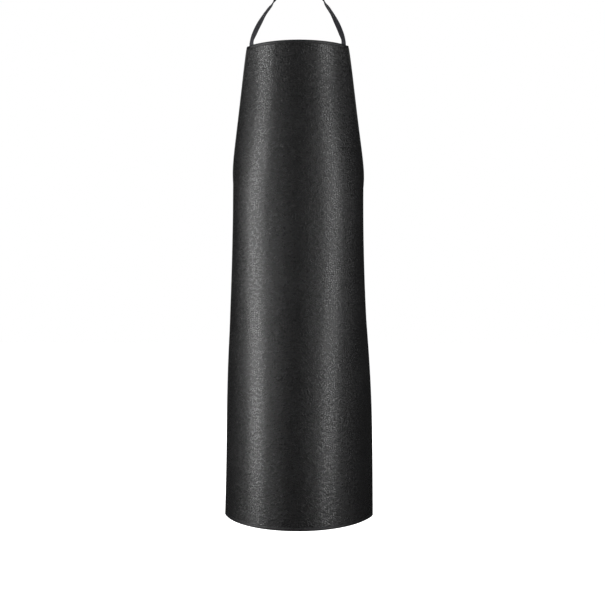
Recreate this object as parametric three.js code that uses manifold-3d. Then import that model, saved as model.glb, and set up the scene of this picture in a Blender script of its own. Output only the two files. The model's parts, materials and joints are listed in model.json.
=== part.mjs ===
// A full-length bib apron of coated leathercloth, in the shape it takes on a wearer, open at the back.
// Millimetres, +Z up, +X to the right as seen from the front, -Y towards the viewer.
// The origin is on the axis of the wearer's neck, at the mid-width of the strap across the nape.
// Left and right in the names are as seen from the front.
import * as THREE from "three";
import Module from "manifold-3d";
import { mergeVertices } from "three/addons/utils/BufferGeometryUtils.js";

const wasm = await Module();
wasm.setup();

// ---- Driving dimensions ----
const TOP_Z = -170; // top edge of the bib
const BIB_HEIGHT = 368; // top edge to the waist corners
const SKIRT_LENGTH = 781; // waist corners to the hem
const BIB_TOP_HALF = 138; // half of the bib's top edge, measured along the cloth
const SKIRT_HALF = 266; // half of the skirt's width, measured along the cloth
const BIB_SLANT = { share: 0.47, power: 0.8 }; // the part of the widening that the bib's straight sides have
const ARM_SCOOP_POWER = 5; // how suddenly the rest of the widening comes, at the foot of the arm scoop
const CLOTH = 1; // thickness of the coated cloth
const TAPE = 0.6; // thickness of the binding tape
const BINDING = 7; // how far the binding reaches in from an edge
const GAP = 0.5; // clearance between pieces that touch
const SEWN_GAP = 0.8; // clearance of a strap or patch behind the cloth, which curves across it

// The wearer's horizontal section at three heights: half width, half depth, and where its front lies.
const TOP_SECTION = { half: 163, depth: 163, front: -95 };
const WAIST_SECTION = { half: 160, depth: 120, front: -128 };
const HEM_SECTION = { half: 200, depth: 270, front: -150 };
const FLARE = 1.65; // how late the skirt flares: 1 is a straight cone

const WEBBING = 15; // strap width
const WEBBING_T = 1.2; // strap thickness
const SEWN = 38; // length of strap sewn behind the cloth
const STRAP_INSET = 5; // strap's outer edge to the cloth's side edge, at the bib's corner
const STRAP_BELOW = 18; // waist strap's centre line below the waist corners
const PATCH_MARGIN = 7; // patch past the strap on every side
const PATCH = 1; // patch thickness
const PATCH_TOP = 3; // neck patch's upper edge below the cloth's top edge
const NECK_RISE = 9; // how far above the cloth a neck strap starts to lean back
const NAPE_Y = 62; // neck axis to the strap across the nape
const NAPE_STRAIGHT = 44; // half length of the straight stretch across the nape
const NAPE_TILT = THREE.MathUtils.degToRad(20); // the nape strap leans back by this
const BELT_ROUND = 0.42; // share of the way round the back over which the belt follows the waist
const BELT_FLAT = 7.3; // how far the belt's straight stretch cuts inside the round of the back
const BELT_STRAIGHT = 62; // half length of the belt's straight stretch across the back
const LEAD_IN = 2; // from the end of a strap's route to its first point in the buckle's own plane
const NECK_TAIL = 44; // end of the neck strap's free tail, from the buckle's mouth
const WAIST_TAIL = 54; // end of the waist strap's free tail, from the buckle's mouth
const NECK_FOLD = 12; // how far a neck strap's sewn fold reaches past the socket
const WAIST_FOLD = 26; // how far a waist strap's sewn fold reaches past the socket

// Side-release buckle. Local axes: x along the strap, from socket to plug, y across it, z away from the wearer.
const BUCKLE_W = WEBBING + 8;
const SOCKET_L = 24;
const SOCKET_T = 9;
const SIDE_WALL = 2;
const FACE_WALL = 1.6;
const MOUTH_GAP = 0.6; // socket's mouth to the plug's shoulder
const SLOT_W = WEBBING + 1.2;
const BAR = 3.4;
const BAR_T = 2.8;
const SLOT = 4.2;
const TAIL_SLOT = 6.4; // the plug's outer slot, which takes the webbing twice
const SHOULDER = 5.4; // plug's solid shoulder, along the strap
const SHOULDER_T = 6.4;
const TONGUE = { length: 18, width: 4.4, thick: 3.2 };
const PRONG = { length: 19, inner: BUCKLE_W / 2 - 6, arm: 2.4, head: 9.5, thick: 4, nose: 4 };
const PRONG_REACH = BUCKLE_W / 2 - 0.7; // outer face of a prong's head
const WINDOW_PLAY = 0.9; // window's clearance round a prong's head
const CORNER = 3; // corner radius of the mouldings

const WAIST_Z = TOP_Z - BIB_HEIGHT;
const HEM_Z = WAIST_Z - SKIRT_LENGTH;
const BELT_Z = WAIST_Z - STRAP_BELOW;

// ---- The curved surface that the cloth lies on ----
const mix = (a, b, share) => a + (b - a) * share;
const smooth = (x) => x * x * (3 - 2 * x);

// Half width, half depth and front of the section at height z.
function sectionAt(z) {
  const onBib = z >= WAIST_Z;
  const share = onBib ? smooth((TOP_Z - z) / BIB_HEIGHT) : Math.pow((WAIST_Z - z) / SKIRT_LENGTH, FLARE);
  const [from, to] = onBib ? [TOP_SECTION, WAIST_SECTION] : [WAIST_SECTION, HEM_SECTION];
  return {
    half: mix(from.half, to.half, share),
    depth: mix(from.depth, to.depth, share),
    front: mix(from.front, to.front, share),
  };
}

// Half of the cloth's width at height z, measured along the cloth.
function clothHalf(z) {
  if (z <= WAIST_Z) return SKIRT_HALF;
  const down = (TOP_Z - z) / BIB_HEIGHT;
  const slant = BIB_SLANT.share * Math.pow(down, BIB_SLANT.power);
  const share = slant + (1 - BIB_SLANT.share) * Math.pow(down, ARM_SCOOP_POWER);
  return mix(BIB_TOP_HALF, SKIRT_HALF, share);
}

// The section's angle at which its arc from the front has the given length.
function angleAt(z, length) {
  const { half, depth } = sectionAt(z);
  const steps = 400;
  const step = Math.PI / steps;
  let done = 0;
  for (let i = 0; i < steps; i++) {
    const angle = (i + 0.5) * step;
    const piece = Math.hypot(half * Math.cos(angle), depth * Math.sin(angle)) * step;
    if (done + piece >= length) return (i + (length - done) / piece) * step;
    done += piece;
  }
  return Math.PI;
}

const edgeAngle = (z) => angleAt(z, clothHalf(z));

// A point of the surface at a section angle and a height, moved outwards by lift.
function onCloth(angle, z, lift = 0) {
  const { half, depth, front } = sectionAt(z);
  const point = new THREE.Vector3(half * Math.sin(angle), front + depth * (1 - Math.cos(angle)), z);
  return point.addScaledVector(clothNormal(angle, z), lift);
}

function clothNormal(angle, z) {
  const { half, depth } = sectionAt(z);
  return new THREE.Vector3(depth * Math.sin(angle), -half * Math.cos(angle), 0).normalize();
}

// Length along the cloth for a change of one radian in the section's angle.
function stretchAt(angle, z) {
  const { half, depth } = sectionAt(z);
  return Math.hypot(half * Math.cos(angle), depth * Math.sin(angle));
}

// ---- Solids ----
// A closed solid through a row of sections. Each section is two rows of points, outer and inner.
function loft(sections) {
  const columns = sections[0].outer.length;
  const loops = sections.map(({ outer, inner }) => [...outer, ...[...inner].reverse()]);
  const around = 2 * columns;
  const positions = loops.flat().flatMap((p) => p.toArray());
  const index = [];
  const quad = (a, b, c, d) => index.push(a, b, c, a, c, d);
  for (let k = 0; k + 1 < loops.length; k++)
    for (let i = 0; i < around; i++) {
      const j = (i + 1) % around;
      quad(k * around + i, k * around + j, (k + 1) * around + j, (k + 1) * around + i);
    }
  const last = (loops.length - 1) * around;
  for (let i = 0; i + 1 < columns; i++) {
    const facing = around - 1 - i;
    quad(i, facing, facing - 1, i + 1);
    quad(last + i, last + i + 1, last + facing - 1, last + facing);
  }
  const geometry = new THREE.BufferGeometry();
  geometry.setAttribute("position", new THREE.Float32BufferAttribute(positions, 3));
  geometry.setIndex(signedVolume(positions, index) < 0 ? [...index].reverse() : index);
  geometry.computeVertexNormals();
  return geometry;
}

function signedVolume(positions, index) {
  const corner = (i) => new THREE.Vector3().fromArray(positions, 3 * i);
  let total = 0;
  for (let i = 0; i < index.length; i += 3)
    total += corner(index[i]).dot(corner(index[i + 1]).cross(corner(index[i + 2])));
  return total / 6;
}

// A flat strap along a row of points. Across gives the direction of its width at each point.
function ribbon(points, across, width = WEBBING, thickness = WEBBING_T) {
  const sections = points.map((point, i) => {
    const before = points[Math.max(i - 1, 0)];
    const after = points[Math.min(i + 1, points.length - 1)];
    const along = after.clone().sub(before).normalize();
    const side = across[i].clone().addScaledVector(along, -across[i].dot(along)).normalize();
    const face = along.clone().cross(side).multiplyScalar(thickness / 2);
    const row = (sign) =>
      [-width / 2, width / 2].map((w) => point.clone().addScaledVector(side, w).addScaledVector(face, sign));
    return { outer: row(1), inner: row(-1) };
  });
  return loft(sections);
}

function toSolid(geometry) {
  const bare = geometry.clone();
  bare.deleteAttribute("normal");
  bare.deleteAttribute("uv");
  const merged = mergeVertices(bare, 1e-4);
  return new wasm.Manifold(
    new wasm.Mesh({
      numProp: 3,
      vertProperties: new Float32Array(merged.attributes.position.array),
      triVerts: new Uint32Array(merged.index.array),
    }),
  );
}

function toGeometry(solid) {
  const mesh = solid.getMesh();
  const geometry = new THREE.BufferGeometry();
  geometry.setAttribute("position", new THREE.Float32BufferAttribute(mesh.vertProperties, 3));
  geometry.setIndex(new THREE.Uint32BufferAttribute(mesh.triVerts, 1));
  geometry.computeVertexNormals();
  return geometry;
}

// ---- Materials ----
const finish = (color, roughness) => new THREE.MeshStandardMaterial({ color, roughness, metalness: 0 });
const LEATHERCLOTH = finish(0x242424, 0.45);
const BINDING_TAPE = finish(0x222226, 0.8);
const STRAP_WEBBING = finish(0x26262c, 0.85);
const BUCKLE_PLASTIC = finish(0x1c1c1e, 0.4);

const apron = new THREE.Group();

function add(name, geometry, material, parent = apron) {
  const mesh = new THREE.Mesh(geometry, material);
  mesh.name = name;
  parent.add(mesh);
  return mesh;
}

// ---- Cloth panel ----
const BIB_ROWS = 22;
const SKIRT_ROWS = 13;
const MIDDLE_COLUMNS = 18;
const ROW_SPREAD = 1.3; // how much closer the skirt's rows lie at the waist than at the hem
const EDGE_STEPS = [0, BINDING / 2, BINDING, BINDING + 9]; // columns close to a side edge, measured from it

// Heights of the rows, closest together where the arm scoop turns into the waist corner.
function rowHeights() {
  const bib = Array.from({ length: BIB_ROWS }, (_, i) => {
    return TOP_Z - BIB_HEIGHT * Math.sin((Math.PI / 2) * (i / BIB_ROWS));
  });
  const skirt = Array.from({ length: SKIRT_ROWS + 1 }, (_, i) => {
    return mix(WAIST_Z, HEM_Z, Math.pow(i / SKIRT_ROWS, ROW_SPREAD));
  });
  return [...bib, ...skirt];
}

// Section angles of the columns at height z, from the left edge to the right one.
function columnAngles(z) {
  const edge = edgeAngle(z);
  const near = EDGE_STEPS.map((step) => edge - step / stretchAt(edge, z));
  const innermost = near[near.length - 1];
  const middle = Array.from({ length: MIDDLE_COLUMNS - 1 }, (_, i) => {
    return mix(-innermost, innermost, (i + 1) / MIDDLE_COLUMNS);
  });
  return [...near.map((angle) => -angle), ...middle, ...[...near].reverse()];
}

function clothPanel() {
  const sections = rowHeights().map((z) => {
    const angles = columnAngles(z);
    const row = (lift) => angles.map((angle) => onCloth(angle, z, lift));
    return { outer: row(CLOTH / 2), inner: row(-CLOTH / 2) };
  });
  return loft(sections);
}

// ---- Binding tape, folded over the edges ----
const FOLD_IN = CLOTH / 2 + GAP; // inner face of the tape to the cloth's middle
const FOLD_OUT = FOLD_IN + TAPE;

// The tape's folded section at one of its two faces: how far in from the edge, and how far out from the cloth's
// middle.
function tapeFace(lift, past) {
  const front = [[BINDING, lift], [BINDING / 2, lift], [-past, lift]];
  const back = front.map(([inwards, out]) => [inwards, -out]).reverse();
  return [...front, ...back];
}
const TAPE_OUTER = tapeFace(FOLD_OUT, GAP + TAPE);
const TAPE_INNER = tapeFace(FOLD_IN, GAP);

// A station of an edge: its angle and height, and the changes of both for 1 mm inwards along the cloth.
function binding(stations) {
  const sections = stations.map(({ angle, z, inAngle, inZ }) => {
    const row = (face) =>
      face.map(([inwards, lift]) => onCloth(angle + inAngle * inwards, z + inZ * inwards, lift));
    return { outer: row(TAPE_OUTER), inner: row(TAPE_INNER) };
  });
  return loft(sections);
}

// Stations down a side edge. At each end the tape is cut along the given direction: sideways, or mitred.
function sideStations(heights, side, startMitre, endMitre) {
  const places = heights.map((z) => ({ z, run: clothHalf(z) }));
  return places.map(({ z, run }, i) => {
    const before = places[Math.max(i - 1, 0)];
    const after = places[Math.min(i + 1, places.length - 1)];
    const length = Math.hypot(after.run - before.run, after.z - before.z);
    const inwards = { run: (after.z - before.z) / length, z: -(after.run - before.run) / length };
    if (i === 0) Object.assign(inwards, startMitre);
    if (i === places.length - 1) Object.assign(inwards, endMitre);
    const angle = edgeAngle(z);
    return {
      angle: side * angle,
      z,
      inAngle: (side * inwards.run) / stretchAt(angle, z),
      inZ: inwards.z,
    };
  });
}

const SIDEWAYS = { run: -1, z: 0 };

// The arm binding skips the rows so close to the waist corner that its sections there would cross.
const armHeights = () => rowHeights().filter((z) => z === WAIST_Z || z > WAIST_Z + BINDING);

// The mitre at the waist corner halves the angle between the scoop's last stretch and the side edge.
function waistMitre() {
  const above = armHeights().at(-2);
  const lean = Math.atan2(SKIRT_HALF - clothHalf(above), above - WAIST_Z);
  return { run: -1, z: -Math.tan(lean / 2) };
}

function armBinding(side) {
  return binding(sideStations(armHeights(), side, SIDEWAYS, waistMitre()));
}

function sideBinding(side) {
  const heights = rowHeights().filter((z) => z <= WAIST_Z);
  heights[0] -= 2 * GAP;
  return binding(sideStations(heights, side, waistMitre(), SIDEWAYS));
}

// Stations across the top edge or the hem, between the two side bindings.
function crossStations(z, downwards) {
  const edge = edgeAngle(z);
  const end = edge - (BINDING + 2 * GAP) / stretchAt(edge, z);
  const middle = columnAngles(z).filter((angle) => Math.abs(angle) < end - 1e-6);
  return [-end, ...middle, end].map((angle) => ({ angle, z, inAngle: 0, inZ: downwards ? -1 : 1 }));
}

// ---- Sewn patches ----
const STRAP_LIFT = -(FOLD_OUT + SEWN_GAP + WEBBING_T / 2); // a sewn strap's middle, behind the cloth's middle
const PATCH_LIFT = STRAP_LIFT - WEBBING_T / 2 - SEWN_GAP; // outer face of a patch

function patch(middleAngle, lowZ, highZ, halfWidth) {
  const rows = 3;
  const columns = 6;
  const shares = Array.from({ length: columns + 1 }, (_, i) => mix(-1, 1, i / columns));
  const sections = Array.from({ length: rows + 1 }, (_, k) => {
    const z = mix(lowZ, highZ, k / rows);
    const spread = halfWidth / stretchAt(middleAngle, z);
    const row = (lift) => shares.map((share) => onCloth(middleAngle + spread * share, z, lift));
    return { outer: row(PATCH_LIFT), inner: row(PATCH_LIFT - PATCH) };
  });
  return loft(sections);
}

const BIB_STRAP_RUN = BIB_TOP_HALF - STRAP_INSET - WEBBING / 2; // front middle to the strap's centre line
const bibStrapAngle = (z) => angleAt(z, BIB_STRAP_RUN);

function neckPatch(side) {
  const lowZ = TOP_Z - SEWN - PATCH_MARGIN;
  return patch(side * bibStrapAngle(TOP_Z), lowZ, TOP_Z - PATCH_TOP, WEBBING / 2 + PATCH_MARGIN);
}

const WAIST_SEWN_START = SKIRT_HALF - SEWN - STRAP_INSET; // along the cloth

function waistPatch(side) {
  const middle = side * angleAt(BELT_Z, WAIST_SEWN_START + SEWN / 2);
  const past = PATCH_MARGIN - STRAP_INSET; // the patch ends inside the binding
  const halfHeight = WEBBING / 2 + past;
  return patch(middle, BELT_Z - halfHeight, BELT_Z + halfHeight, SEWN / 2 + past);
}

// ---- Webbing through the buckle, in the buckle's own plane ----
const SOCKET_END = SOCKET_L + SLOT + BAR;
const PLUG_START = MOUTH_GAP;
const INNER_BAR = PLUG_START + SHOULDER + SLOT; // nearer edge of the plug's inner bar
const OUTER_BAR = INNER_BAR + BAR + TAIL_SLOT;
const PLUG_END = OUTER_BAR + BAR;
const OVER_BAR = BAR_T / 2 + GAP + WEBBING_T / 2; // webbing's middle as it passes a bar
const LAYER = WEBBING_T + GAP; // between two layers of webbing
const PLUG_LOAD = -(OVER_BAR + LAYER); // the plug's loaded webbing runs under its own tail
const SOCKET_LOAD = -OVER_BAR;
const BEND = 1.5; // webbing's bend radius round a bar, at its middle

// A polyline with its inner corners rounded.
function rounded(corners, radius) {
  const points = [corners[0].clone()];
  for (let i = 1; i + 1 < corners.length; i++) {
    const back = corners[i - 1].clone().sub(corners[i]);
    const on = corners[i + 1].clone().sub(corners[i]);
    const cut = Math.min(radius, back.length() / 2, on.length() / 2);
    const curve = new THREE.QuadraticBezierCurve3(
      corners[i].clone().addScaledVector(back.normalize(), cut),
      corners[i],
      corners[i].clone().addScaledVector(on.normalize(), cut),
    );
    points.push(...curve.getPoints(4));
  }
  points.push(corners[corners.length - 1].clone());
  return points;
}

const inBuckle = (pairs) => pairs.map(([x, z]) => new THREE.Vector3(x, 0, z));

// From the far end of the loaded stretch, up between the shoulder and the inner bar, over that bar,
// down through the outer slot, and out as the tail between the outer bar and the loaded stretch.
function plugThread(loadStart, tail) {
  const rise = PLUG_START + SHOULDER + SLOT / 2;
  const fall = INNER_BAR + BAR + BEND + 0.4;
  return rounded(
    inBuckle([
      [loadStart, PLUG_LOAD],
      [rise, PLUG_LOAD],
      [rise, OVER_BAR],
      [fall, OVER_BAR],
      [fall, -OVER_BAR],
      [tail, -OVER_BAR],
    ]),
    BEND,
  );
}

// Under the socket's bar, up through its slot, back over the bar and down onto itself, where it is sewn.
function socketThread(loadStart, fold) {
  const rise = -(SOCKET_L + SLOT / 2);
  const landing = -(SOCKET_END + 6);
  return rounded(
    inBuckle([
      [loadStart, SOCKET_LOAD],
      [rise, SOCKET_LOAD],
      [rise, OVER_BAR],
      [-(SOCKET_END + 1), OVER_BAR],
      [landing, SOCKET_LOAD + LAYER],
      [fold, SOCKET_LOAD + LAYER],
    ]),
    BEND,
  );
}

// ---- Where the two buckles lie ----
function place(position, tilt) {
  const group = new THREE.Group();
  group.position.copy(position);
  group.rotation.set(-Math.PI / 2 + tilt, 0, 0);
  group.updateMatrix();
  apron.add(group);
  return group;
}

const neckBuckle = place(new THREE.Vector3(0, NAPE_Y, 0), NAPE_TILT);
const waistBackY = WAIST_SECTION.front + 2 * WAIST_SECTION.depth - BELT_FLAT;
const waistBuckle = place(new THREE.Vector3(0, waistBackY, BELT_Z), 0);

const toWorld = (buckle, points) => points.map((point) => point.clone().applyMatrix4(buckle.matrix));
const acrossOf = (buckle) => new THREE.Vector3(0, 1, 0).transformDirection(buckle.matrix);

// ---- Straps ----
const STRAP_STEPS = 26; // sections along a strap's free route

// The neck strap's free stops, on the right side: the share of the way from the cloth to the nape in X, Y and Z,
// and the direction that the webbing faces.
const NECK_STOPS = [
  { way: [0.09, 0.1, 0.145], face: [0.4, -0.85, 0.3] },
  { way: [0.24, 0.28, 0.33], face: [0.3, -0.8, 0.5] },
  { way: [0.4, 0.47, 0.5], face: [0.45, -0.6, 0.65] },
  { way: [0.61, 0.69, 0.68], face: [0.35, -0.3, 0.85] },
  { way: [0.73, 0.83, 0.8], face: [0.5, 0.3, 0.75] },
  { way: [0.86, 0.94, 0.92], face: [0.4, 0.75, 0.5] },
];

// Sewn to the bib's corner, over the shoulder by the neck, and round to the nape.
function neckRoute(side, load) {
  const sewn = [SEWN, SEWN / 2, 0, -NECK_RISE].map((below) => {
    const z = TOP_Z - Math.max(below, 0);
    const angle = bibStrapAngle(z);
    const at = onCloth(angle, z, STRAP_LIFT).setZ(TOP_Z - below);
    return { at, face: clothNormal(angle, z) };
  });
  const leave = sewn[sewn.length - 1].at;
  const [nape] = toWorld(neckBuckle, [new THREE.Vector3(NAPE_STRAIGHT + LEAD_IN, 0, load)]);
  const free = NECK_STOPS.map(({ way, face }) => ({
    at: nape.clone().sub(leave).multiply(new THREE.Vector3(...way)).add(leave),
    face: new THREE.Vector3(...face),
  }));
  const napeFace = new THREE.Vector3(0, 0, 1).transformDirection(neckBuckle.matrix);
  const stops = [...sewn, ...free, { at: nape, face: napeFace }];
  const mirror = new THREE.Vector3(side, 1, 1);
  const smoothly = (points) => new THREE.CatmullRomCurve3(points, false, "centripetal");
  const route = smoothly(stops.map(({ at }) => at.clone().multiply(mirror)));
  const faces = smoothly(stops.map(({ face }) => face.clone().multiply(mirror)));
  const shares = Array.from({ length: STRAP_STEPS }, (_, i) => i / STRAP_STEPS);
  return {
    points: shares.map((share) => route.getPoint(share)),
    across: shares.map((share) => faces.getPoint(share).cross(route.getTangent(share)).normalize()),
  };
}

function neckStrap(side) {
  const onPlug = side > 0;
  const fold = -(SOCKET_END + NECK_FOLD);
  const path = onPlug ? plugThread(NAPE_STRAIGHT, NECK_TAIL) : socketThread(-NAPE_STRAIGHT, fold);
  const thread = toWorld(neckBuckle, path);
  const route = neckRoute(side, onPlug ? PLUG_LOAD : SOCKET_LOAD);
  const width = acrossOf(neckBuckle);
  if (route.across[route.across.length - 1].dot(width) < 0) width.negate();
  return ribbon([...route.points, ...thread], [...route.across, ...thread.map(() => width)]);
}

// Sewn behind the waist corner, round the waist, and straight across the back.
function waistStrap(side) {
  const onPlug = side > 0;
  const load = onPlug ? PLUG_LOAD : SOCKET_LOAD;
  const fold = -(SOCKET_END + WAIST_FOLD);
  const start = BELT_STRAIGHT - LEAD_IN;
  const thread = toWorld(waistBuckle, onPlug ? plugThread(start, WAIST_TAIL) : socketThread(-start, fold));
  const leaves = edgeAngle(BELT_Z);
  const sewn = angleAt(BELT_Z, WAIST_SEWN_START);
  const angles = [0, 0.25, 0.5, 0.75, 1].map((share) => mix(sewn, leaves, share));
  const stops = [...angles, mix(leaves, Math.PI, 0.2), mix(leaves, Math.PI, BELT_ROUND)].map((angle) => {
    const point = onCloth(angle, BELT_Z, STRAP_LIFT);
    return new THREE.Vector3(side * point.x, point.y, point.z);
  });
  const straight = toWorld(waistBuckle, [new THREE.Vector3(side * BELT_STRAIGHT, 0, load)])[0];
  const route = new THREE.CatmullRomCurve3([...stops, straight, thread[0]], false, "centripetal");
  const points = Array.from({ length: STRAP_STEPS }, (_, i) => route.getPoint(i / STRAP_STEPS));
  const up = new THREE.Vector3(0, 0, 1);
  return ribbon([...points, ...thread], [...points, ...thread].map(() => up));
}

// ---- Buckle mouldings ----
function block(x0, x1, halfY, halfZ, radius = 0) {
  const shape = new THREE.Shape();
  const r = Math.min(radius, (x1 - x0) / 2);
  shape.moveTo(x0 + r, -halfY);
  shape.lineTo(x1 - r, -halfY);
  if (r) shape.absarc(x1 - r, -halfY + r, r, -Math.PI / 2, 0);
  shape.lineTo(x1, halfY - r);
  if (r) shape.absarc(x1 - r, halfY - r, r, 0, Math.PI / 2);
  shape.lineTo(x0 + r, halfY);
  if (r) shape.absarc(x0 + r, halfY - r, r, Math.PI / 2, Math.PI);
  shape.lineTo(x0, -halfY + r);
  if (r) shape.absarc(x0 + r, -halfY + r, r, Math.PI, 1.5 * Math.PI);
  return plate(shape, halfZ);
}

function plate(shape, halfZ) {
  const options = { depth: 2 * halfZ, bevelEnabled: false, curveSegments: 5 };
  return toSolid(new THREE.ExtrudeGeometry(shape, options).translate(0, 0, -halfZ));
}

// A hollow housing, open at the plug's end and at a window on each side, with a bar for the webbing.
function socket() {
  const housing = block(-SOCKET_L, 0, BUCKLE_W / 2, SOCKET_T / 2, CORNER);
  const frame = block(-SOCKET_END, -SOCKET_L + CORNER, BUCKLE_W / 2 - 1, BAR_T / 2, CORNER);
  const slot = block(-(SOCKET_L + SLOT), -SOCKET_L, SLOT_W / 2, SOCKET_T);
  const cavity = block(-SOCKET_L + SIDE_WALL, 1, BUCKLE_W / 2 - SIDE_WALL, SOCKET_T / 2 - FACE_WALL);
  const window = block(
    -PRONG.length - WINDOW_PLAY,
    -PRONG.length + PRONG.head + WINDOW_PLAY,
    BUCKLE_W,
    PRONG.thick / 2 + WINDOW_PLAY,
  );
  return housing.add(frame).subtract(slot).subtract(cavity).subtract(window);
}

// A shoulder with the centre tongue in front and the two-bar ladder for the webbing behind.
function plug() {
  const shoulder = block(PLUG_START, PLUG_START + SHOULDER, BUCKLE_W / 2 - 0.6, SHOULDER_T / 2, CORNER / 2);
  const tongue = block(-TONGUE.length, PLUG_START + 1, TONGUE.width / 2, TONGUE.thick / 2, 1);
  const ladder = block(PLUG_START + SHOULDER / 2, PLUG_END, BUCKLE_W / 2 - 1, BAR_T / 2, CORNER);
  const innerSlot = block(INNER_BAR - SLOT, INNER_BAR, SLOT_W / 2, SOCKET_T);
  const outerSlot = block(INNER_BAR + BAR, OUTER_BAR, SLOT_W / 2, SOCKET_T);
  return shoulder.add(tongue).add(ladder).subtract(innerSlot).subtract(outerSlot);
}

// A springy arm with a barbed head that catches in the socket's window.
function prong(side) {
  const outline = [
    [-PRONG.length, PRONG.inner],
    [PLUG_START - GAP, PRONG.inner],
    [PLUG_START - GAP, PRONG.inner + PRONG.arm],
    [-PRONG.length + PRONG.head, PRONG.inner + PRONG.arm],
    [-PRONG.length + PRONG.head, PRONG_REACH],
    [-PRONG.length + PRONG.nose, PRONG_REACH],
    [-PRONG.length, PRONG.inner + PRONG.arm / 2],
  ];
  const shape = new THREE.Shape(outline.map(([x, y]) => new THREE.Vector2(x, side * y)));
  return plate(shape, PRONG.thick / 2);
}

function addBuckle(name, group) {
  add(`${name}_buckle_socket`, toGeometry(socket()), BUCKLE_PLASTIC, group);
  add(`${name}_buckle_plug`, toGeometry(plug()), BUCKLE_PLASTIC, group);
  add(`${name}_prong_upper`, toGeometry(prong(-1)), BUCKLE_PLASTIC, group);
  add(`${name}_prong_lower`, toGeometry(prong(1)), BUCKLE_PLASTIC, group);
}

// ---- Assembly ----
add("apron_panel", clothPanel(), LEATHERCLOTH);
add("top_binding", binding(crossStations(TOP_Z, true)), BINDING_TAPE);
add("hem_binding", binding(crossStations(HEM_Z, false)), BINDING_TAPE);
for (const [name, side] of [["left", -1], ["right", 1]]) {
  add(`arm_binding_${name}`, armBinding(side), BINDING_TAPE);
  add(`side_binding_${name}`, sideBinding(side), BINDING_TAPE);
  add(`neck_patch_${name}`, neckPatch(side), LEATHERCLOTH);
  add(`waist_patch_${name}`, waistPatch(side), LEATHERCLOTH);
  add(`neck_strap_${name}`, neckStrap(side), STRAP_WEBBING);
  add(`waist_strap_${name}`, waistStrap(side), STRAP_WEBBING);
}
addBuckle("neck", neckBuckle);
addBuckle("waist", waistBuckle);

export default apron;
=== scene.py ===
"""A full-length bib apron: pebbled leathercloth, folded binding tape, ribbed webbing and moulded buckles.

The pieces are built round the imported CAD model, in metres, in its frame: +Z up, the apron's front
towards -Y, and the origin on the axis of the wearer's neck at the height of the strap across the nape.
"""

import json
import math
import random

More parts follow.
